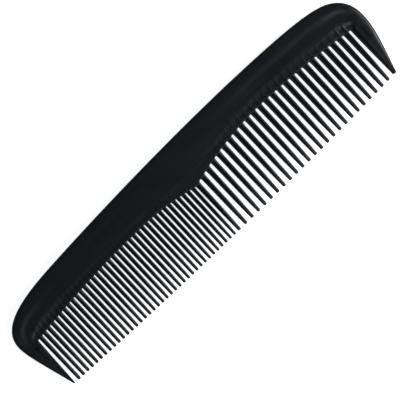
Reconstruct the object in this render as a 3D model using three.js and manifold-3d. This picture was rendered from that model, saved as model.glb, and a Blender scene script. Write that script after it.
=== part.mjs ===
// A pocket comb with a fine half and a wide half, moulded in one piece of black plastic.
//
// It lies flat on the XY plane: +X runs from the fine end to the wide end, +Y points to the back of the
// comb, the teeth point to -Y, and +Z is the thickness. The origin is under the middle of the comb's box.
//
// The moulding is made whole and then parted on flat planes into regions: the spine, the two end guards,
// and the two banks of teeth, each bank in stretches of a dozen teeth or so.

import * as THREE from 'three';
import { mergeVertices } from 'three/addons/utils/BufferGeometryUtils.js';
import Module from 'manifold-3d';

// ---- Driving dimensions, in millimetres ----

const LENGTH = 127;
const WIDTH = 30;
const RIM_THICKNESS = 4;
const WEB_THICKNESS = 3.3;
const GUARD_TIP_THICKNESS = 1.8;

const RIM_WIDTH = 4.6;
const RIM_PROFILE = [
  // across the rim from the outline inward, and up from the parting plane, as shares
  { across: 0, up: 0.4 },
  { across: 0.06, up: 0.78 },
  { across: 0.24, up: 1 },
  { across: 0.62, up: 1 },
];
const RIM_ROOT_SINK = 0.05; // how far the rim's inner foot dips under the web's face
const GUARD_TAPER_Y = -3; // the guards are of full thickness above this and thin out below

const FINE = {
  count: 37,
  pitch: 1.517,
  firstX: -57.69,
  rootWidths: [1.17, 0.8], // of the first tooth and of the last; those between change evenly
  endWidths: [0.9, 0.8],
  stretches: { fine_teeth_outer: 12, fine_teeth_middle: 12, fine_teeth_inner: 13 },
};
const WIDE = {
  count: 25,
  pitch: 2.411,
  firstX: -1.38,
  rootWidths: [1.26, 1.12],
  endWidths: [1.02, 1.02],
  stretches: { wide_teeth_inner: 12, wide_teeth_outer: 13 },
};
const TOOTH = {
  rootThickness: 2.9,
  shaftThickness: 2.1, // where the last stretch starts, in which a tooth thins faster
  endThickness: 0.8,
  tipThickness: 0.4,
  tipWidthRatio: 0.6,
  slopeHeight: 7, // of that last stretch
  tipHeight: 0.8, // of the blunted tip
  buriedHeight: 0.5, // how far the tooth reaches into the web above its slot
  flatRatio: 0.5, // width of a tooth's flat face, of its width at the parting line
};

// The slots end on two arches, one over each bank, that meet in a cusp.
const CUSP = { x: -2.3, y: 1.05 };
const FINE_ARCH = { crestX: -19.8, crestY: 3.05, farX: -58.6, farY: 0.2 };
const WIDE_ARCH = { crestX: 25.9, crestY: 5.1, farX: 58, farY: 3.05 };

// The tips lie on one shallow arc.
const TIP_ARC = { lowestX: -4.7, radius: 1515 };

// Each guard's inner edge runs straight from its slot to its tip.
const FINE_GUARD_EDGE = { rootX: -58.73, tipX: -59.2 };
const WIDE_GUARD_EDGE = { rootX: 58.44, tipX: 58.75 };

// The outline from tip to tip, over the back, in cubic stretches that share their tangents.
const FINE_TIP = { x: -59.55, y: -14, handleX: -1.9, handleY: 7.1 };
const FINE_END = { x: -LENGTH / 2, y: 2.05, below: 3, above: 6 };
const FINE_SHOULDER = { x: -44.5, y: 11.6, slope: 0.09, before: 12.5, after: 21 };
const CREST = { x: 26.4, y: WIDTH / 2, before: 23, after: 13.5 };
const WIDE_SHOULDER = { x: 52, y: 13.95, slope: -0.15, before: 4.4, after: 6.6 };
const WIDE_END = { x: LENGTH / 2, y: 3.3, above: 7.3, below: 6.2 };
const WIDE_TIP = { x: 59.45, y: -13.55, handleX: 0.55, handleY: 2.65 };

const OUTLINE_STEPS = 9; // along each stretch
const ARCH_STEPS = 10; // along each side of an arch

const SPINE_FOOT_Y = 6.2; // the spine ends here, just above the highest slot
const MARGIN = 5; // how far a cutting box reaches past the comb

// ---- Curves of the plan view ----

function archHeight(arch, x) {
  const inner = (x < arch.crestX) === (arch.farX > arch.crestX);
  const end = inner ? CUSP : { x: arch.farX, y: arch.farY };
  const reach = (x - arch.crestX) / (end.x - arch.crestX);
  return arch.crestY - (arch.crestY - end.y) * reach * reach;
}

function slotEndY(x) {
  return archHeight(x < CUSP.x ? FINE_ARCH : WIDE_ARCH, x);
}

function tipY(x) {
  const along = x - TIP_ARC.lowestX;
  return -WIDTH / 2 + (along * along) / (2 * TIP_ARC.radius);
}

function outlinePath() {
  const path = new THREE.Path();
  path.moveTo(FINE_TIP.x, FINE_TIP.y);
  path.bezierCurveTo(
    FINE_TIP.x + FINE_TIP.handleX, FINE_TIP.y + FINE_TIP.handleY,
    FINE_END.x, FINE_END.y - FINE_END.below,
    FINE_END.x, FINE_END.y,
  );
  path.bezierCurveTo(
    FINE_END.x, FINE_END.y + FINE_END.above,
    FINE_SHOULDER.x - FINE_SHOULDER.before, FINE_SHOULDER.y - FINE_SHOULDER.before * FINE_SHOULDER.slope,
    FINE_SHOULDER.x, FINE_SHOULDER.y,
  );
  path.bezierCurveTo(
    FINE_SHOULDER.x + FINE_SHOULDER.after, FINE_SHOULDER.y + FINE_SHOULDER.after * FINE_SHOULDER.slope,
    CREST.x - CREST.before, CREST.y,
    CREST.x, CREST.y,
  );
  path.bezierCurveTo(
    CREST.x + CREST.after, CREST.y,
    WIDE_SHOULDER.x - WIDE_SHOULDER.before, WIDE_SHOULDER.y - WIDE_SHOULDER.before * WIDE_SHOULDER.slope,
    WIDE_SHOULDER.x, WIDE_SHOULDER.y,
  );
  path.bezierCurveTo(
    WIDE_SHOULDER.x + WIDE_SHOULDER.after, WIDE_SHOULDER.y + WIDE_SHOULDER.after * WIDE_SHOULDER.slope,
    WIDE_END.x, WIDE_END.y + WIDE_END.above,
    WIDE_END.x, WIDE_END.y,
  );
  path.bezierCurveTo(
    WIDE_END.x, WIDE_END.y - WIDE_END.below,
    WIDE_TIP.x + WIDE_TIP.handleX, WIDE_TIP.y + WIDE_TIP.handleY,
    WIDE_TIP.x, WIDE_TIP.y,
  );
  return path;
}

// How wide the rim is at a point of the outline: its full width over the back, and down the guards what
// lies between the outline and the guard's inner edge.
function rimWidthAt(point) {
  const [edge, tip] = point.x < 0 ? [FINE_GUARD_EDGE, FINE_TIP] : [WIDE_GUARD_EDGE, WIDE_TIP];
  if (point.y > 0) {
    return RIM_WIDTH;
  }
  const edgeX = THREE.MathUtils.lerp(edge.rootX, edge.tipX, point.y / tip.y);
  return Math.min(RIM_WIDTH, Math.abs(point.x - edgeX));
}

function rimThicknessAt(point) {
  const tip = point.x < 0 ? FINE_TIP : WIDE_TIP;
  const down = THREE.MathUtils.clamp((point.y - GUARD_TAPER_Y) / (tip.y - GUARD_TAPER_Y), 0, 1);
  return THREE.MathUtils.lerp(RIM_THICKNESS, GUARD_TIP_THICKNESS, down);
}

// Stations along the outline, each with its point, the inward direction and the rim's size there.
function rimStations() {
  const path = outlinePath();
  const stations = [];
  path.curves.forEach((curve, index) => {
    for (let step = index === 0 ? 0 : 1; step <= OUTLINE_STEPS; step += 1) {
      const point = curve.getPoint(step / OUTLINE_STEPS);
      const tangent = curve.getTangent(step / OUTLINE_STEPS);
      stations.push({
        point,
        inward: new THREE.Vector2(tangent.y, -tangent.x),
        width: rimWidthAt(point),
        thickness: rimThicknessAt(point),
      });
    }
  });
  return stations;
}

// The slot ends as points from the wide guard back to the fine guard, with one on the cusp.
function slotEndPoints() {
  const stops = [WIDE_GUARD_EDGE.rootX, WIDE_ARCH.crestX, CUSP.x, FINE_ARCH.crestX, FINE_GUARD_EDGE.rootX];
  const points = [];
  for (let i = 0; i < stops.length - 1; i += 1) {
    for (let step = i === 0 ? 0 : 1; step <= ARCH_STEPS; step += 1) {
      const x = THREE.MathUtils.lerp(stops[i], stops[i + 1], step / ARCH_STEPS);
      points.push(new THREE.Vector2(x, slotEndY(x)));
    }
  }
  return points;
}

// The plan of the comb without its teeth, drawn in from the outline by a share of the rim's width.
function planShape(insetShare) {
  const back = rimStations().map(
    ({ point, inward, width }) => point.clone().addScaledVector(inward, width * insetShare),
  );
  const wideTip = new THREE.Vector2(WIDE_GUARD_EDGE.tipX, WIDE_TIP.y);
  const fineTip = new THREE.Vector2(FINE_GUARD_EDGE.tipX, FINE_TIP.y);
  return new THREE.Shape([...back, wideTip, ...slotEndPoints(), fineTip]);
}

// ---- Solids ----

const wasm = await Module();
wasm.setup();

function toSolid(geometry) {
  const plain = geometry.clone();
  plain.deleteAttribute('normal');
  plain.deleteAttribute('uv');
  const merged = mergeVertices(plain, 1e-5);
  return new wasm.Manifold(
    new wasm.Mesh({
      numProp: 3,
      vertProperties: new Float32Array(merged.attributes.position.array),
      triVerts: new Uint32Array(merged.index.array),
    }),
  );
}

// A closed body through rings of equally many points. Each ring is convex, and runs anticlockwise for an
// eye that looks back along the rings.
function loft(rings) {
  const sides = rings[0].length;
  const positions = rings.flat().flatMap((point) => [point.x, point.y, point.z]);
  const indices = [];
  for (let ring = 0; ring < rings.length - 1; ring += 1) {
    for (let side = 0; side < sides; side += 1) {
      const a = ring * sides + side;
      const b = ring * sides + ((side + 1) % sides);
      indices.push(a, b, b + sides, a, b + sides, a + sides);
    }
  }
  const last = (rings.length - 1) * sides;
  for (let side = 1; side < sides - 1; side += 1) {
    indices.push(0, side + 1, side);
    indices.push(last, last + side, last + side + 1);
  }
  const geometry = new THREE.BufferGeometry();
  geometry.setAttribute('position', new THREE.Float32BufferAttribute(positions, 3));
  geometry.setIndex(indices);
  return geometry;
}

function plate(shape, thickness) {
  const geometry = new THREE.ExtrudeGeometry(shape, { depth: thickness, bevelEnabled: false });
  return toSolid(geometry.translate(0, 0, -thickness / 2));
}

// The rim: a rounded bead with a flat crest on both faces, swept round the outline.
function rimSolid() {
  const footUp = WEB_THICKNESS / 2 - RIM_ROOT_SINK;
  const rings = rimStations().map(({ point, inward, width, thickness }) => {
    const upper = RIM_PROFILE.map(({ across, up }) => [across * width, (up * thickness) / 2]);
    upper.push([width, footUp]);
    const lower = upper.map(([across, z]) => [across, -z]).reverse();
    return [...upper, ...lower].map(([across, z]) => {
      const at = point.clone().addScaledVector(inward, across);
      return new THREE.Vector3(at.x, at.y, z);
    });
  });
  return toSolid(loft(rings));
}

// A tooth is widest at the parting line and drafts to a narrow flat on each face.
function toothRing(x, y, width, thickness) {
  const edge = width / 2;
  const flat = edge * TOOTH.flatRatio;
  const half = thickness / 2;
  return [
    new THREE.Vector3(x + edge, y, 0),
    new THREE.Vector3(x + flat, y, half),
    new THREE.Vector3(x - flat, y, half),
    new THREE.Vector3(x - edge, y, 0),
    new THREE.Vector3(x - flat, y, -half),
    new THREE.Vector3(x + flat, y, -half),
  ];
}

function toothSolid(x, rootWidth, endWidth) {
  const tip = tipY(x);
  const root = slotEndY(x);
  const widthAt = (y) => THREE.MathUtils.mapLinear(y, tip, root, endWidth, rootWidth);
  const buried = root + TOOTH.buriedHeight;
  const slopeStart = tip + TOOTH.slopeHeight;
  const tipStart = tip + TOOTH.tipHeight;
  const rings = [
    toothRing(x, buried, rootWidth, TOOTH.rootThickness),
    toothRing(x, slopeStart, widthAt(slopeStart), TOOTH.shaftThickness),
    toothRing(x, tipStart, widthAt(tipStart), TOOTH.endThickness),
    toothRing(x, tip, endWidth * TOOTH.tipWidthRatio, TOOTH.tipThickness),
  ];
  return toSolid(loft(rings));
}

function bankOfTeeth(bank) {
  const teeth = [];
  for (let i = 0; i < bank.count; i += 1) {
    const along = i / (bank.count - 1);
    const rootWidth = THREE.MathUtils.lerp(...bank.rootWidths, along);
    const endWidth = THREE.MathUtils.lerp(...bank.endWidths, along);
    teeth.push(toothSolid(bank.firstX + i * bank.pitch, rootWidth, endWidth));
  }
  return wasm.Manifold.union(teeth);
}

function moulding() {
  const silhouette = plate(planShape(0), RIM_THICKNESS + 2 * MARGIN);
  const web = plate(planShape(0.5), WEB_THICKNESS);
  const body = rimSolid().add(web).intersect(silhouette);
  return body.add(bankOfTeeth(FINE)).add(bankOfTeeth(WIDE));
}

// ---- Regions ----

function regionBox(fromX, toX, fromY, toY) {
  const depth = RIM_THICKNESS + 2 * MARGIN;
  const geometry = new THREE.BoxGeometry(toX - fromX, toY - fromY, depth);
  return toSolid(geometry.translate((fromX + toX) / 2, (fromY + toY) / 2, 0));
}

// The middle of the slot between a guard and the tooth next to it.
function guardSlotX(guardX, toothX, toothWidth) {
  return (guardX + toothX + (Math.sign(toothX) * toothWidth) / 2) / 2;
}

// Where one stretch of a bank ends and the next begins, always in the middle of a slot.
function stretchBoxes(bank, fromX, toX) {
  const boxes = {};
  let done = 0;
  let start = fromX;
  for (const [name, count] of Object.entries(bank.stretches)) {
    done += count;
    const end = done < bank.count ? bank.firstX + (done - 0.5) * bank.pitch : toX;
    boxes[name] = regionBox(start, end, BOTTOM, SPINE_FOOT_Y);
    start = end;
  }
  return boxes;
}

const LEFT = -LENGTH / 2 - MARGIN;
const RIGHT = LENGTH / 2 + MARGIN;
const BOTTOM = -WIDTH / 2 - MARGIN;
const TOP = WIDTH / 2 + MARGIN;

function regionBoxes() {
  const lastWideX = WIDE.firstX + (WIDE.count - 1) * WIDE.pitch;
  const fineSlotX = guardSlotX(FINE_GUARD_EDGE.rootX, FINE.firstX, FINE.rootWidths[0]);
  const wideSlotX = guardSlotX(WIDE_GUARD_EDGE.rootX, lastWideX, WIDE.rootWidths[1]);
  return {
    spine: regionBox(LEFT, RIGHT, SPINE_FOOT_Y, TOP),
    fine_end_guard: regionBox(LEFT, fineSlotX, BOTTOM, SPINE_FOOT_Y),
    ...stretchBoxes(FINE, fineSlotX, CUSP.x),
    ...stretchBoxes(WIDE, CUSP.x, wideSlotX),
    wide_end_guard: regionBox(wideSlotX, RIGHT, BOTTOM, SPINE_FOOT_Y),
  };
}

function toMesh(name, solid) {
  const { vertProperties, triVerts } = solid.getMesh();
  const geometry = new THREE.BufferGeometry();
  geometry.setAttribute('position', new THREE.BufferAttribute(vertProperties, 3));
  geometry.setIndex(new THREE.BufferAttribute(triVerts, 1));
  geometry.computeVertexNormals();
  const material = new THREE.MeshStandardMaterial({ color: 0x141518, roughness: 0.38, metalness: 0 });
  const mesh = new THREE.Mesh(geometry, material);
  mesh.name = name;
  mesh.position.z = RIM_THICKNESS / 2;
  return mesh;
}

const whole = moulding();
const comb = new THREE.Group();
for (const [name, box] of Object.entries(regionBoxes())) {
  comb.add(toMesh(name, whole.intersect(box)));
}

export default comb;
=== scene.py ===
"""The looks of a black plastic pocket comb with a fine half and a wide half.

The comb lies flat: +X runs from the fine end to the wide end, +Y points to its back, the teeth point to
-Y. The whole moulding is built as one closed surface, the same on both faces, and is then cut into the
CAD part's regions. Lengths are in millimetres up to the last step, which turns them into metres.
"""

import math

import bmesh
import bpy
import numpy as np
from mathutils import Euler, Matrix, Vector


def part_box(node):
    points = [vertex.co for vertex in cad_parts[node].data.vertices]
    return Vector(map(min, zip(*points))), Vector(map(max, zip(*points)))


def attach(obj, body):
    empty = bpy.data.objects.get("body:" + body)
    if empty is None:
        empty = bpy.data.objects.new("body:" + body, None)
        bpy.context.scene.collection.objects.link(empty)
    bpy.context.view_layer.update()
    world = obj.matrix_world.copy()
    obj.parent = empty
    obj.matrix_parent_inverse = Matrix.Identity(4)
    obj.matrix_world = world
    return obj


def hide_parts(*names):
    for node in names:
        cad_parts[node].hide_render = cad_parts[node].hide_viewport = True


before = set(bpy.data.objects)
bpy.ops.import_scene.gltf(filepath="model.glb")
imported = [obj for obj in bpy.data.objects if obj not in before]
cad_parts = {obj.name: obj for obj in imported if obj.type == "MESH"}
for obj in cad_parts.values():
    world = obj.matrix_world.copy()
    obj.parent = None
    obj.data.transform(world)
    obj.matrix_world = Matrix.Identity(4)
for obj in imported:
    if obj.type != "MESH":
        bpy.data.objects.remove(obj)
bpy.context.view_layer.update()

MM = 0.001

# ---- The comb in plan, in millimetres ----

WIDTH = 30.0
MIDDLE_Z = 2.0  # height of the parting plane

# The two banks of teeth. Widths are those of a bank's first tooth and of its last; those between change
# evenly. The steps are faces across a tooth and across a slot.
FINE = {
    "count": 37,
    "pitch": 1.517,
    "first_x": -57.69,
    "root_widths": (1.17, 0.78),
    "end_widths": (0.9, 0.8),
    "fillet": 0.08,
    "tooth_steps": 8,
    "slot_steps": 6,
}
WIDE = {
    "count": 25,
    "pitch": 2.411,
    "first_x": -1.38,
    "root_widths": (1.24, 1.06),
    "end_widths": (1.0, 1.02),
    "fillet": 0.1,
    "tooth_steps": 10,
    "slot_steps": 8,
}

CUSP = (-2.3, 1.05)  # where the two arches of slot ends meet
FINE_ARCH = {"crest": (-19.8, 3.05), "far": (-58.6, 0.2)}
WIDE_ARCH = {"crest": (25.9, 5.1), "far": (58.0, 3.05)}
ARCH_SOFTENING = 5.0  # how far to each side the cusp is smoothed, up in the web

TIP_ARC_X = -4.7
TIP_ARC_RADIUS = 1515.0

# Guards: x of the inner edge at y = 0 and at the tip, the tip's y, and between which y the raised rim
# runs out into the guard.
FINE_GUARD = {"root_x": -58.73, "tip_x": -59.2, "tip_y": -14.0, "side": -1, "rim_fade": (-0.5, 5.5)}
WIDE_GUARD = {"root_x": 58.44, "tip_x": 58.75, "tip_y": -13.55, "side": 1, "rim_fade": (2.0, 9.0)}

# Outline, tip to tip over the back: point, and the handles before and after it.
OUTLINE = [
    ((-59.55, -14.0), None, (-61.45, -6.9)),
    ((-63.5, 2.05), (-63.5, -0.95), (-63.5, 8.05)),
    ((-44.5, 11.6), (-57.0, 10.475), (-23.5, 13.49)),
    ((26.4, 15.0), (3.4, 15.0), (39.9, 15.0)),
    ((52.0, 13.95), (47.6, 14.61), (58.6, 12.96)),
    ((63.5, 3.3), (63.5, 10.6), (63.5, -2.9)),
    ((59.45, -13.55), (60.0, -10.9), None),
]
OUTLINE_SAMPLES = 160  # of each stretch
BACK_Y = 8.0  # the outline is the comb's back above this, and its ends below
ENDS_X = 50.0  # the two ends lie beyond this, to both sides

# ---- Its thickness, in millimetres: heights are above and below the parting plane ----

RIM_CREST = 2.0
WEB_HEIGHT = 1.65
RIM_ROLL = 1.3  # from the outline to where the rim is at its crest
RIM_POWER = 6.0  # of the superellipse that rounds the back
GUARD_ROLL = 2.6  # the same two for the wide guard, whose outer edge is softer
GUARD_POWER = 3.1
SOFT_EDGE_X = (56.0, 62.0)  # where the edge goes from one to the other
RIM_STEP = (2.5, 4.7)  # the rim's inner slope is a step between these distances from the outline
RIM_SWELL = (2.8, 19.0)  # or a swell between these, where it melts into the web
STEP_SHARES = [(-58, 0.55), (-44, 0), (10, 0), (26, 0.46), (36, 0.32), (50, 0.36), (60, 0.9)]  # x, share
RIM_END_SHARE = 0.7  # of the step's distances, round the two ends of the comb
RIM_END_X = (50.0, 62.0)  # where the rim goes from its full width to that share
RIM_FADE_X = (46.0, 56.0)  # from where to where a guard's rim_fade comes in
RIM_SPAN = 4.0  # a guard that is narrower than this has the edge's shape scaled down
GUARD_TIP_HEIGHT = 0.9
GUARD_TAPER_Y = -2.0
SECTION_POWER = 3.2  # of the superellipse that rounds a tooth
SLOT_EDGE_ROLL = 0.45
SLOT_EDGE_POWER = 5.0
GUARD_EDGE_ROLL = 0.9  # of the inner edge of a guard
SCOOP_DEPTHS = [(-58, 0.15), (-38, 0.04), (0, 0.02), (22, 0.1), (52, 0.09), (57, 0.26)]  # x, depth
SCOOP_RAMP = (1.5, 3.2)  # heights above the slot between which the scoop fades out
TOOTH_SCOOP = 0.35  # of that depth, what a tooth's middle has
SCOOP_RIDGE_POWER = 3
SCOOP_SPREAD = 0.9  # height over which a scoop widens from its slot to the whole pitch
FLASH = 0.03  # height of the mould's parting line, off the rim

TOOTH_SLOPE_LENGTH = 7.0  # the last stretch, where a tooth thins faster
TOOTH_SLOPE_HEIGHT = 1.15  # at the top of that stretch
TOOTH_END_HEIGHT = 0.2  # at the tip, but for its rounding
TOOTH_SLOPE_CURVE = 1.1  # 1 is a straight slope, more is one that gets steeper towards the tip
TOOTH_NOSE = 0.5  # length of the rounded tip
TOOTH_NOSE_POWER = 2.8
GUARD_NOSE = 0.35  # length of a guard's rounded tip

# ---- Density of the surface ----

GUARD_STEPS = 30  # columns up a guard
GUARD_NOSE_STEPS = 8  # columns round its tip
FAN_STEPS = 7  # columns round the corner from a guard to the slot beside it
# Rows of a column: distances from its foot, then some between, then distances from the outline.
INNER_ROWS = np.array(
    [0, 0.03, 0.09, 0.18, 0.3, 0.45, 0.65, 0.9, 1.2] + [1.5, 1.8, 2.1, 2.4, 2.7, 3.0, 3.3, 3.6]
)
MIDDLE_ROWS = 6
RIM_ROWS = np.array(
    [5.4, 5.0, 4.7, 4.4, 4.1, 3.8, 3.5, 3.2, 2.9, 2.6, 2.2, 1.8, 1.4, 1.1]
    + [0.8, 0.55, 0.37, 0.24, 0.15, 0.08, 0.035, 0.01, 0.001, 0]
)
FULL_RUNG = 8.6  # a shorter rung has its rows drawn together
TOOTH_SHAFT_ROWS = 10  # rows down a tooth, in its three stretches
TOOTH_SLOPE_ROWS = 7
TOOTH_NOSE_ROWS = 8
FAN_RUN = 5.0  # length of outline that the corner between guard and first slot fans out to
FAN_END_X = 50.0  # beyond this the columns lean out towards the guards
WELD = 2e-8  # metres
SHARP_ANGLE = 50  # degrees

# ---- Regions: cuts as (axis, metres, 1 to keep lower values or -1 to keep higher), and CAD nodes ----

SPINE_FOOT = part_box("spine")[0][1]
FINE_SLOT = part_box("fine_end_guard")[1][0]
WIDE_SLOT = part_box("wide_end_guard")[0][0]
CUSP_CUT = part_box("wide_teeth_inner")[0][0]
BELOW_SPINE = (1, SPINE_FOOT, 1)
REGIONS = [
    ("spine", [(1, SPINE_FOOT, -1)], ["spine"]),
    ("fine_end_guard", [BELOW_SPINE, (0, FINE_SLOT, 1)], ["fine_end_guard"]),
    (
        "fine_teeth",
        [BELOW_SPINE, (0, FINE_SLOT, -1), (0, CUSP_CUT, 1)],
        ["fine_teeth_outer", "fine_teeth_middle", "fine_teeth_inner"],
    ),
    (
        "wide_teeth",
        [BELOW_SPINE, (0, CUSP_CUT, -1), (0, WIDE_SLOT, 1)],
        ["wide_teeth_inner", "wide_teeth_outer"],
    ),
    ("wide_end_guard", [BELOW_SPINE, (0, WIDE_SLOT, -1)], ["wide_end_guard"]),
]

# ---- Material ----

DARK_TONE = (0.0052, 0.0071, 0.0092, 1)
LIGHT_TONE = (0.0074, 0.0096, 0.0122, 1)
ROUGHNESS = (0.28, 0.38)
INDEX_OF_REFRACTION = 1.40
TONE_SCALE = 90  # of the noise that mixes the two tones
HAIRLINE_SCALE = 500
HAIRLINE_STRETCH = (0.12, 3.2, 1)  # hairlines run along the comb
FLOW_SCALE = 160
FLOW_STRENGTH = 0.15
FLOW_DEPTH = 0.0001
GRAIN_SCALE = 2600
GRAIN_STRENGTH = 0.08
GRAIN_DEPTH = 0.00003

# ---- Stage, in metres ----

FLOOR_RADIUS = 3.0
FLOOR_WHITE = (0.9, 0.9, 0.9, 1)
FLOOR_GLOW = 0.9

# The sky's colour at the sine of each height over the horizon.
SKY = [(-0.02, (0.09, 0.1, 0.11)), (0.0, (1, 1, 1)), (0.02, (1, 1, 1)), (0.3, (0.042, 0.064, 0.088))]
SKY_SHIFT = 0.5  # brings those heights to between 0 and 1

# Softboxes: name, azimuth and elevation in degrees, distance, size, and radiance, where white is 1.
SOFTBOXES = [
    ("key", -29, 27, 0.9, (0.68, 0.45), 7.0),
    ("front", -74, 57, 0.9, (0.75, 0.36), 1.6),
]

CAMERA_TARGET = (-3.76, -2.16, 2.0)  # this and the distance are in millimetres
CAMERA_DISTANCE = 363.05
CAMERA_ANGLES = (6.417, -10.074, -43.806)  # degrees
SENSOR_WIDTH = 36
LENS = 126


def smoothstep(low, high, value):
    """0 below low, 1 above high, and a smooth rise between."""
    share = np.clip((value - low) / (high - low), 0, 1)
    return share * share * (3 - 2 * share)


def at_x(places, x):
    """A value that is given at a few x and runs straight between them."""
    return np.interp(x, *zip(*places))


def rounding(share, power=2.0):
    """Height of a superellipse: 0 at share 1, 1 at share 0."""
    return (1 - np.clip(share, 0, 1) ** power) ** (1 / power)


# ---- Curves of the plan ----


def arch_height(x):
    """y of the slot ends at x."""
    x = np.asarray(x, float)
    heights = []
    for arch in (FINE_ARCH, WIDE_ARCH):
        crest, far = arch["crest"], arch["far"]
        towards_cusp = (x < crest[0]) == (far[0] > crest[0])
        end_x = np.where(towards_cusp, CUSP[0], far[0])
        end_y = np.where(towards_cusp, CUSP[1], far[1])
        reach = (x - crest[0]) / (end_x - crest[0])
        heights.append(crest[1] - (crest[1] - end_y) * reach**2)
    return np.where(x < CUSP[0], heights[0], heights[1])


def soft_arch_height(x):
    """The same arches with their cusp smoothed out."""
    offsets = np.linspace(-ARCH_SOFTENING, ARCH_SOFTENING, 25)
    weights = 1 + np.cos(math.pi * offsets / ARCH_SOFTENING)
    return np.average([arch_height(x + offset) for offset in offsets], axis=0, weights=weights)


def tip_height(x):
    """y of the tip of a tooth at x."""
    return -WIDTH / 2 + (x - TIP_ARC_X) ** 2 / (2 * TIP_ARC_RADIUS)


def sample_outline():
    """Points of the outline, inward unit normals, and the length run so far."""
    points = []
    t = np.linspace(0, 1, OUTLINE_SAMPLES, endpoint=False)[:, None]
    for (start, _, after), (end, before, _) in zip(OUTLINE, OUTLINE[1:]):
        a, b, c, d = (np.array(p) for p in (start, after, before, end))
        points.append((1 - t) ** 3 * a + 3 * (1 - t) ** 2 * t * b + 3 * (1 - t) * t**2 * c + t**3 * d)
    points.append(np.array([OUTLINE[-1][0]]))
    points = np.concatenate(points)
    tangents = np.gradient(points, axis=0)
    tangents /= np.linalg.norm(tangents, axis=1)[:, None]
    normals = np.stack([tangents[:, 1], -tangents[:, 0]], axis=1)
    steps = np.linalg.norm(np.diff(points, axis=0), axis=1)
    return points, normals, np.concatenate([[0], np.cumsum(steps)])


EDGE_POINTS, EDGE_NORMALS, EDGE_RUN = sample_outline()


def on_outline(run):
    """Point and inward normal of the outline after a length of it."""
    point = np.stack([np.interp(run, EDGE_RUN, EDGE_POINTS[:, k]) for k in (0, 1)], axis=-1)
    normal = np.stack([np.interp(run, EDGE_RUN, EDGE_NORMALS[:, k]) for k in (0, 1)], axis=-1)
    return point, normal / np.linalg.norm(normal, axis=-1, keepdims=True)


def outline_distance(points):
    """Shortest distance of each point to the outline."""
    starts, ends = EDGE_POINTS[:-1], EDGE_POINTS[1:]
    along = ends - starts
    squared = (along**2).sum(axis=1)
    nearest = []
    for row in points:
        offset = row[:, None, :] - starts[None]
        share = np.clip((offset * along).sum(axis=2) / squared, 0, 1)
        gap = offset - share[:, :, None] * along
        nearest.append(np.sqrt((gap**2).sum(axis=2).min(axis=1)))
    return np.array(nearest)


def run_at_height(guard, y):
    """Where the outline beside a guard passes the height y."""
    beside = EDGE_POINTS[:, 0] * guard["side"] > ENDS_X
    beside &= EDGE_POINTS[:, 1] < BACK_Y
    order = np.argsort(EDGE_POINTS[beside, 1])
    return np.interp(y, EDGE_POINTS[beside, 1][order], EDGE_RUN[beside][order])


def guard_edge_x(guard, y):
    """x of a guard's inner edge at y."""
    share = np.asarray(y, float) / guard["tip_y"]
    return guard["root_x"] + (guard["tip_x"] - guard["root_x"]) * share


# ---- Columns: lines that run from the inner boundary across to the outline ----
#
# A column's values: foot, where it starts; heading, its direction there; run, where it meets the outline;
# drop, how far a fillet lowers its foot; across, 1 at an edge and 0 in the middle of a tooth; in_slot and
# in_pitch, how deep the scoop is on it, low down and high up; edge, how far in its edge is rounded; crisp,
# 1 where that edge is a slot's and 0 where it is a tooth's; nose, 0 at a guard's tip and 1 above it.

COLUMN_DEFAULTS = {"heading": (0, 1), "drop": 0, "across": 1, "in_slot": 0, "in_pitch": 0, "nose": 1}
COLUMN_DEFAULTS.update(edge=SLOT_EDGE_ROLL, crisp=1)


def guard_columns(guard, root_y):
    """From the tip up to the root, close together where the tip is rounded."""
    nose_rises = GUARD_NOSE * (1 - np.cos(np.linspace(0, math.pi / 2, GUARD_NOSE_STEPS + 1)[:-1]))
    straight_rises = np.linspace(GUARD_NOSE, root_y - guard["tip_y"], GUARD_STEPS)
    columns = []
    for rise in np.concatenate([nose_rises, straight_rises]):
        y = guard["tip_y"] + rise
        columns.append(
            {
                "foot": (guard_edge_x(guard, y), y),
                "heading": (guard["side"], 0),
                "run": run_at_height(guard, y),
                "nose": rounding(1 - rise / GUARD_NOSE),
                "edge": GUARD_EDGE_ROLL,
                "crisp": 0,
            }
        )
    return columns


def fan_columns(guard, bank, start_run, end_run):
    """Round the corner from a guard's inner edge to the end of the slot beside it."""
    edge_x, radius = guard["root_x"], bank["fillet"]
    columns = []
    for share in np.linspace(0, 1, FAN_STEPS + 1)[1:]:
        cosine, sine = math.cos(share * math.pi / 2), math.sin(share * math.pi / 2)
        x = edge_x - guard["side"] * radius * (1 - cosine)
        columns.append(
            {
                "foot": (x, arch_height(x) - radius * (1 - sine)),
                "heading": (guard["side"] * cosine, sine),
                "run": start_run + (end_run - start_run) * share,
                "in_slot": sine**2,
                "in_pitch": sine**2,
                "edge": GUARD_EDGE_ROLL + (SLOT_EDGE_ROLL - GUARD_EDGE_ROLL) * share,
                "crisp": share,
            }
        )
    return columns


def all_teeth():
    """Each tooth's bank, its x, and its width at the root and at the end."""
    teeth = []
    for bank in (FINE, WIDE):
        xs = bank["first_x"] + bank["pitch"] * np.arange(bank["count"])
        roots = np.linspace(*bank["root_widths"], bank["count"])
        ends = np.linspace(*bank["end_widths"], bank["count"])
        teeth += [{"bank": bank, "x": x, "root": root, "end": end} for x, root, end in zip(xs, roots, ends)]
    return teeth


def tooth_columns(tooth):
    """Across the root of one tooth, both edges included."""
    bank, centre = tooth["bank"], tooth["x"]
    columns = []
    for angle in np.linspace(-math.pi / 2, math.pi / 2, bank["tooth_steps"] + 1):
        offset = math.sin(angle) * tooth["root"] / 2
        columns.append(
            {
                "foot": (centre + offset, arch_height(centre + offset) - bank["fillet"]),
                "drop": bank["fillet"],
                "across": abs(math.sin(angle)),
                "crisp": abs(math.sin(angle)) ** 8,
                "in_slot": TOOTH_SCOOP,
                "in_pitch": pitch_scoop(bank, offset),
            }
        )
    return columns


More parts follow.
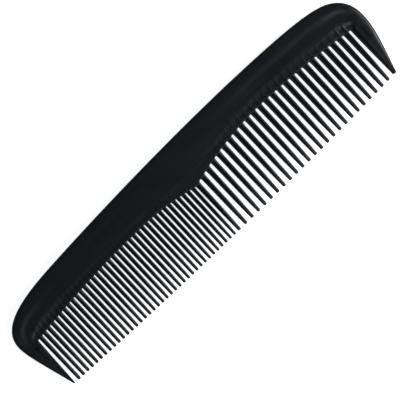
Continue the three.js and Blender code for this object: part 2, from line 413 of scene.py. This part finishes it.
def pitch_scoop(bank, offset):
    """The scoop high above the slots: least above a tooth's middle, soon 1 to both sides of it."""
    ridge = ((1 + math.cos(2 * math.pi * offset / bank["pitch"])) / 2) ** SCOOP_RIDGE_POWER
    return 1 - (1 - TOOTH_SCOOP) * ridge


def slot_columns(bank, left_x, right_x, left_scoop, right_scoop, left_fillet, right_fillet):
    """Across one slot, without its edges. A side with no fillet starts where a fan has ended."""
    from_x = left_x + (0 if left_fillet else bank["fillet"])
    to_x = right_x - (0 if right_fillet else bank["fillet"])
    columns = []
    for angle in np.linspace(0, math.pi, bank["slot_steps"] + 1)[1:-1]:
        off_middle = -math.cos(angle)
        x = (from_x + to_x) / 2 + off_middle * (to_x - from_x) / 2
        into_left = 1 - (x - left_x) / bank["fillet"] if left_fillet else 0
        into_right = 1 - (right_x - x) / bank["fillet"] if right_fillet else 0
        drop = bank["fillet"] * (1 - rounding(max(into_left, into_right, 0)))
        side_scoop = left_scoop if off_middle < 0 else right_scoop
        columns.append(
            {
                "foot": (x, arch_height(x) - drop),
                "drop": drop,
                "in_slot": 1,
                "in_pitch": 1 - (1 - side_scoop) * off_middle**2,
            }
        )
    return columns


def bank_columns(teeth):
    """All slots and teeth by turns, and the place of each tooth's first column."""
    columns, tooth_starts = [], []
    left_x, left_scoop = FINE_GUARD["root_x"], 1
    for i, tooth in enumerate(teeth):
        bank, half_root = tooth["bank"], tooth["root"] / 2
        edge_scoop = pitch_scoop(bank, half_root)
        columns += slot_columns(bank, left_x, tooth["x"] - half_root, left_scoop, edge_scoop, i > 0, True)
        tooth_starts.append(len(columns))
        columns += tooth_columns(tooth)
        left_x, left_scoop = tooth["x"] + half_root, edge_scoop
    columns += slot_columns(WIDE, left_x, WIDE_GUARD["root_x"], left_scoop, 1, True, False)
    return columns, tooth_starts


def add_runs(columns, fine_fan_end, wide_fan_end):
    """Where the columns of the banks meet the outline: straight up, but fanned out at both ends."""
    back = EDGE_POINTS[:, 1] > BACK_Y
    bend_x = np.array([-FAN_END_X, FAN_END_X])
    bend_runs = np.interp(bend_x, EDGE_POINTS[back, 0], EDGE_RUN[back])
    inner_xs = np.linspace(*bend_x, 60)
    inner_runs = np.interp(inner_xs, EDGE_POINTS[back, 0], EDGE_RUN[back])
    known_xs = np.concatenate([[FINE_GUARD["root_x"]], inner_xs, [WIDE_GUARD["root_x"]]])
    known_runs = np.concatenate([[fine_fan_end], inner_runs, [wide_fan_end]])
    for column in columns:
        column["run"] = np.interp(column["foot"][0], known_xs, known_runs)


def comb_columns(teeth):
    """Every column from the fine guard's tip to the wide guard's, as arrays."""
    sides = {}
    for name, guard, bank in (("fine", FINE_GUARD, FINE), ("wide", WIDE_GUARD, WIDE)):
        root_y = arch_height(guard["root_x"]) - bank["fillet"]
        columns = guard_columns(guard, root_y)
        start_run = columns[-1]["run"]
        end_run = start_run - guard["side"] * FAN_RUN
        sides[name] = (columns + fan_columns(guard, bank, start_run, end_run), end_run)
    middle, tooth_starts = bank_columns(teeth)
    add_runs(middle, sides["fine"][1], sides["wide"][1])
    columns = sides["fine"][0] + middle + sides["wide"][0][::-1]
    tooth_starts = [start + len(sides["fine"][0]) for start in tooth_starts]
    names = ["foot", "run", *COLUMN_DEFAULTS]
    arrays = {n: np.array([c.get(n, COLUMN_DEFAULTS.get(n)) for c in columns], float) for n in names}
    return arrays, tooth_starts


# ---- The surface: every column's points, and their height above the parting plane ----


def plan_points(columns):
    """Points of each column from its foot to the outline, and how much its rows are drawn together."""
    foot, heading = columns["foot"], columns["heading"]
    edge, inward = on_outline(columns["run"])
    length = np.linalg.norm(edge - foot, axis=1)
    share = np.minimum(1, length / FULL_RUNG)[:, None]

    inner = foot[:, None] + heading[:, None] * (share * INNER_ROWS)[:, :, None]
    in_web = heading[:, 1:] == 1
    softening = soft_arch_height(foot[:, 0]) - arch_height(foot[:, 0])
    inner[:, :, 1] += in_web * columns["drop"][:, None] * smoothstep(0, 1.2, INNER_ROWS)
    inner[:, :, 1] += in_web * softening[:, None] * smoothstep(0.3, INNER_ROWS[-1], INNER_ROWS)

    offsets = share * RIM_ROWS
    offsets[:, -1] = -FLASH * share[:, 0]
    rim = edge[:, None] + inward[:, None] * offsets[:, :, None]

    gap = rim[:, 0] - inner[:, -1]
    reach = np.linalg.norm(gap, axis=1)[:, None]
    t = np.linspace(0, 1, MIDDLE_ROWS + 2)[1:-1][None, :, None]
    leave, arrive = (heading * reach)[:, None], (-inward * reach)[:, None]
    start, end = inner[:, -1:], rim[:, :1]
    middle = (
        (2 * t**3 - 3 * t**2 + 1) * start
        + (t**3 - 2 * t**2 + t) * leave
        + (3 * t**2 - 2 * t**3) * end
        + (t**3 - t**2) * arrive
    )

    points = np.concatenate([inner, middle, rim], axis=1)
    distance = outline_distance(points)
    distance[:, -len(RIM_ROWS) :] = np.maximum(offsets, 0)
    centre = (foot + edge)[:, None] / 2
    points = centre + (points - centre) * columns["nose"][:, None, None]
    return points, distance, length


def surface_heights(columns, points, distance, length):
    """Half the comb's thickness at every point of the columns."""
    x, y = points[:, :, 0], points[:, :, 1]
    softness = smoothstep(*SOFT_EDGE_X, x)
    roll = RIM_ROLL + (GUARD_ROLL - RIM_ROLL) * softness
    roll *= np.minimum(1, length / RIM_SPAN)[:, None]
    power = RIM_POWER + (GUARD_POWER - RIM_POWER) * softness
    step_scale = 1 - (1 - RIM_END_SHARE) * smoothstep(*RIM_END_X, np.abs(x))
    step = 1 - smoothstep(*RIM_STEP, distance / step_scale)
    swell = 1 - smoothstep(*RIM_SWELL, distance)
    step_share = at_x(STEP_SHARES, x)
    rim_rise = (RIM_CREST - WEB_HEIGHT) * (step_share * step + (1 - step_share) * swell)
    for guard in (FINE_GUARD, WIDE_GUARD):
        near_guard = smoothstep(*RIM_FADE_X, x * guard["side"])
        rim_rise *= 1 - near_guard * (1 - smoothstep(*guard["rim_fade"], y))
    taper = np.clip((GUARD_TAPER_Y - y) / (GUARD_TAPER_Y - FINE_GUARD["tip_y"]), 0, 1)
    flat = WEB_HEIGHT + (GUARD_TIP_HEIGHT - WEB_HEIGHT) * taper
    heights = (flat + rim_rise) * rounding(1 - distance / roll, power)

    rows = INNER_ROWS[None]
    spread = smoothstep(0, SCOOP_SPREAD, rows)
    width = columns["in_slot"][:, None] * (1 - spread) + columns["in_pitch"][:, None] * spread
    depth = at_x(SCOOP_DEPTHS, columns["foot"][:, :1])
    scoop = depth * width * (1 - smoothstep(*SCOOP_RAMP, rows))
    across = columns["across"][:, None]
    edge_power = SECTION_POWER + (SLOT_EDGE_POWER - SECTION_POWER) * columns["crisp"][:, None]
    edge_roll = rounding(across * np.maximum(0, 1 - rows / columns["edge"][:, None]), edge_power)
    heights[:, : len(INNER_ROWS)] *= (1 - scoop / WEB_HEIGHT) * edge_roll
    return heights * columns["nose"][:, None]


def tooth_surface(tooth):
    """Rows of points down a tooth, below its root row, and their heights."""
    bank, centre = tooth["bank"], tooth["x"]
    across = np.sin(np.linspace(-math.pi / 2, math.pi / 2, bank["tooth_steps"] + 1))
    root_x = centre + across * tooth["root"] / 2
    root_y = arch_height(root_x) - bank["fillet"]
    tip_y = tip_height(centre)
    length = arch_height(centre) - bank["fillet"] - tip_y
    rises = np.concatenate(
        [
            np.linspace(length, TOOTH_SLOPE_LENGTH, TOOTH_SHAFT_ROWS + 1)[1:],
            np.linspace(TOOTH_SLOPE_LENGTH, TOOTH_NOSE, TOOTH_SLOPE_ROWS + 1)[1:],
            TOOTH_NOSE * (1 - np.sin(np.linspace(0, math.pi / 2, TOOTH_NOSE_ROWS + 1)[1:])),
        ]
    )
    share = rises / length
    shaft = (rises - TOOTH_SLOPE_LENGTH) / (length - TOOTH_SLOPE_LENGTH)
    on_slope = np.clip(1 - rises / TOOTH_SLOPE_LENGTH, 0, 1) ** TOOTH_SLOPE_CURVE
    root_height = WEB_HEIGHT - TOOTH_SCOOP * at_x(SCOOP_DEPTHS, centre)
    height = TOOTH_SLOPE_HEIGHT + (root_height - TOOTH_SLOPE_HEIGHT) * np.maximum(shaft, 0)
    height -= (TOOTH_SLOPE_HEIGHT - TOOTH_END_HEIGHT) * on_slope
    nose = rounding(1 - np.minimum(rises / TOOTH_NOSE, 1), TOOTH_NOSE_POWER)
    width = (tooth["end"] + (tooth["root"] - tooth["end"]) * share) * nose

    x = centre + across * width[:, None] / 2
    y = tip_y + (root_y - tip_y) * share[:, None]
    points = np.stack([x, y], axis=2)
    return points, (height * nose)[:, None] * rounding(np.abs(across), SECTION_POWER)


def quads(index):
    """Faces between the neighbours of a grid of vertex numbers, facing up."""
    a, b, c, d = index[:-1, :-1], index[1:, :-1], index[1:, 1:], index[:-1, 1:]
    return np.stack([a, b, c, d], axis=2).reshape(-1, 4)


def comb_surface():
    """The whole moulding as one closed bmesh, in metres."""
    teeth = all_teeth()
    columns, tooth_starts = comb_columns(teeth)
    points, distance, length = plan_points(columns)
    heights = surface_heights(columns, points, distance, length)
    index = np.arange(heights.size).reshape(heights.shape)
    all_points, all_heights, faces = [points.reshape(-1, 2)], [heights.ravel()], [quads(index)]
    count = heights.size
    for tooth, start in zip(teeth, tooth_starts):
        points, heights = tooth_surface(tooth)
        below = count + np.arange(heights.size).reshape(heights.shape)
        root = index[start : start + tooth["bank"]["tooth_steps"] + 1, 0]
        faces.append(quads(np.vstack([root, below])[::-1].T))
        all_points.append(points.reshape(-1, 2))
        all_heights.append(heights.ravel())
        count += heights.size
    plan, up, upper = np.concatenate(all_points), np.concatenate(all_heights), np.concatenate(faces)
    top = np.column_stack([plan, MIDDLE_Z + up])
    bottom = np.column_stack([plan, MIDDLE_Z - up])
    lower = upper[:, ::-1] + count

    corners = np.concatenate([top, bottom]) * MM
    mesh = bpy.data.meshes.new("comb_surface")
    mesh.from_pydata(corners.tolist(), [], np.concatenate([upper, lower]).tolist())
    surface = bmesh.new()
    surface.from_mesh(mesh)
    bpy.data.meshes.remove(mesh)
    bmesh.ops.remove_doubles(surface, verts=surface.verts, dist=WELD)
    bmesh.ops.dissolve_degenerate(surface, edges=surface.edges, dist=WELD)
    return surface


# ---- Regions: the surface is cut on the planes that part the CAD nodes, and each cut is capped ----


def keep_side(surface, axis, at, sign):
    """Cuts away what lies beyond a plane and closes the cut. sign 1 keeps the side of lower values."""
    normal = Vector((0, 0, 0))
    normal[axis] = sign
    place = Vector((0, 0, 0))
    place[axis] = at
    cut = bmesh.ops.bisect_plane(
        surface,
        geom=surface.verts[:] + surface.edges[:] + surface.faces[:],
        plane_co=place,
        plane_no=normal,
        clear_outer=True,
    )
    edges = [e for e in cut["geom_cut"] if isinstance(e, bmesh.types.BMEdge)]
    bmesh.ops.holes_fill(surface, edges=edges)


def make_piece(name, whole, cuts, nodes, material):
    surface = whole.copy()
    for axis, at, sign in cuts:
        keep_side(surface, axis, at, sign)
    for face in surface.faces:
        face.smooth = True
    mesh = bpy.data.meshes.new("comb_" + name)
    surface.to_mesh(mesh)
    surface.free()
    mesh.set_sharp_from_angle(angle=math.radians(SHARP_ANGLE))
    mesh.materials.append(material)
    piece = bpy.data.objects.new("comb_" + name, mesh)
    bpy.context.scene.collection.objects.link(piece)
    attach(piece, "root")
    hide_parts(*nodes)
    return piece


# ---- Material ----


def black_plastic():
    """Near-black moulded plastic: satin, with fine flow marks and the odd hairline of wear."""
    material = bpy.data.materials.new("black_plastic")
    material.use_nodes = True
    nodes, links = material.node_tree.nodes, material.node_tree.links
    shader = nodes["Principled BSDF"]
    shader.inputs["IOR"].default_value = INDEX_OF_REFRACTION

    place = nodes.new("ShaderNodeTexCoord")

    def noise(scale, detail, stretch=(1, 1, 1)):
        mapping = nodes.new("ShaderNodeMapping")
        mapping.inputs["Scale"].default_value = stretch
        links.new(place.outputs["Object"], mapping.inputs["Vector"])
        texture = nodes.new("ShaderNodeTexNoise")
        texture.inputs["Scale"].default_value = scale
        texture.inputs["Detail"].default_value = detail
        links.new(mapping.outputs["Vector"], texture.inputs["Vector"])
        return texture.outputs["Fac"]

    def remap(value, from_low, from_high, to_low, to_high):
        node = nodes.new("ShaderNodeMapRange")
        node.inputs["From Min"].default_value = from_low
        node.inputs["From Max"].default_value = from_high
        node.inputs["To Min"].default_value = to_low
        node.inputs["To Max"].default_value = to_high
        links.new(value, node.inputs["Value"])
        return node.outputs["Result"]

    def bump(height, strength, distance, below=None):
        node = nodes.new("ShaderNodeBump")
        node.inputs["Strength"].default_value = strength
        node.inputs["Distance"].default_value = distance
        links.new(height, node.inputs["Height"])
        if below:
            links.new(below, node.inputs["Normal"])
        return node.outputs["Normal"]

    tone = nodes.new("ShaderNodeMix")
    tone.data_type = "RGBA"
    tone.inputs["A"].default_value = DARK_TONE
    tone.inputs["B"].default_value = LIGHT_TONE
    links.new(remap(noise(TONE_SCALE, 3, (0.5, 1, 1)), 0.35, 0.65, 0, 1), tone.inputs["Factor"])
    links.new(tone.outputs["Result"], shader.inputs["Base Color"])

    hairlines = noise(HAIRLINE_SCALE, 2, HAIRLINE_STRETCH)
    links.new(remap(hairlines, 0.3, 0.7, *ROUGHNESS), shader.inputs["Roughness"])
    flow = bump(noise(FLOW_SCALE, 2), FLOW_STRENGTH, FLOW_DEPTH)
    grain = bump(noise(GRAIN_SCALE, 2), GRAIN_STRENGTH, GRAIN_DEPTH, flow)
    links.new(grain, shader.inputs["Normal"])
    return material


# ---- Stage ----


def add_floor():
    """A white floor that the comb doesn't mirror, so the walls of its teeth stay black."""
    bpy.ops.mesh.primitive_circle_add(vertices=96, radius=FLOOR_RADIUS, fill_type="NGON")
    floor = bpy.context.object
    floor.name = "floor"
    material = bpy.data.materials.new("floor")
    material.use_nodes = True
    shader = material.node_tree.nodes["Principled BSDF"]
    shader.inputs["Base Color"].default_value = FLOOR_WHITE
    shader.inputs["Roughness"].default_value = 0.9
    shader.inputs["Specular IOR Level"].default_value = 0.0
    shader.inputs["Emission Color"].default_value = (1, 1, 1, 1)
    shader.inputs["Emission Strength"].default_value = FLOOR_GLOW
    floor.data.materials.append(material)
    floor.visible_glossy = False


def add_softbox(name, azimuth, elevation, distance, size, radiance):
    """A square area light that faces the comb. Azimuth 0 is over +X and 90 over +Y."""
    light = bpy.data.lights.new(name, "AREA")
    light.shape = "RECTANGLE"
    light.size, light.size_y = size
    light.energy = radiance * math.pi * size[0] * size[1]
    lamp = bpy.data.objects.new(name, light)
    bpy.context.scene.collection.objects.link(lamp)
    a, e = math.radians(azimuth), math.radians(elevation)
    outward = Vector((math.cos(a) * math.cos(e), math.sin(a) * math.cos(e), math.sin(e)))
    lamp.location = outward * distance
    lamp.rotation_euler = outward.to_track_quat("Z", "Y").to_euler()


def set_world():
    """A pale horizon between a dark ceiling and a dark ground."""
    world = bpy.data.worlds.new("studio")
    bpy.context.scene.world = world
    world.use_nodes = True
    nodes, links = world.node_tree.nodes, world.node_tree.links
    place = nodes.new("ShaderNodeTexCoord")
    split = nodes.new("ShaderNodeSeparateXYZ")
    links.new(place.outputs["Generated"], split.inputs["Vector"])
    shift = nodes.new("ShaderNodeMath")
    shift.operation = "ADD"
    shift.inputs[1].default_value = SKY_SHIFT
    links.new(split.outputs["Z"], shift.inputs[0])
    ramp = nodes.new("ShaderNodeValToRGB")
    links.new(shift.outputs["Value"], ramp.inputs["Fac"])
    stops = ramp.color_ramp.elements
    while len(stops) < len(SKY):
        stops.new(1)
    for stop, (height, colour) in zip(stops, SKY):
        stop.position, stop.color = height + SKY_SHIFT, (*colour, 1)
    links.new(ramp.outputs["Color"], nodes["Background"].inputs["Color"])


def add_camera():
    data = bpy.data.cameras.new("camera")
    data.sensor_width = SENSOR_WIDTH
    data.lens = LENS
    camera = bpy.data.objects.new("camera", data)
    bpy.context.scene.collection.objects.link(camera)
    turn = Euler([math.radians(angle) for angle in CAMERA_ANGLES])
    camera.rotation_euler = turn
    backward = turn.to_matrix() @ Vector((0, 0, 1))
    camera.location = (Vector(CAMERA_TARGET) + backward * CAMERA_DISTANCE) * MM
    data.clip_start, data.clip_end = 0.01, 10
    bpy.context.scene.camera = camera


# ---- Build ----

whole = comb_surface()
plastic = black_plastic()
for name, cuts, nodes in REGIONS:
    make_piece(name, whole, cuts, nodes, plastic)
whole.free()

add_floor()
set_world()
for softbox in SOFTBOXES:
    add_softbox(*softbox)
add_camera()
bpy.context.scene.view_settings.view_transform = "Standard"
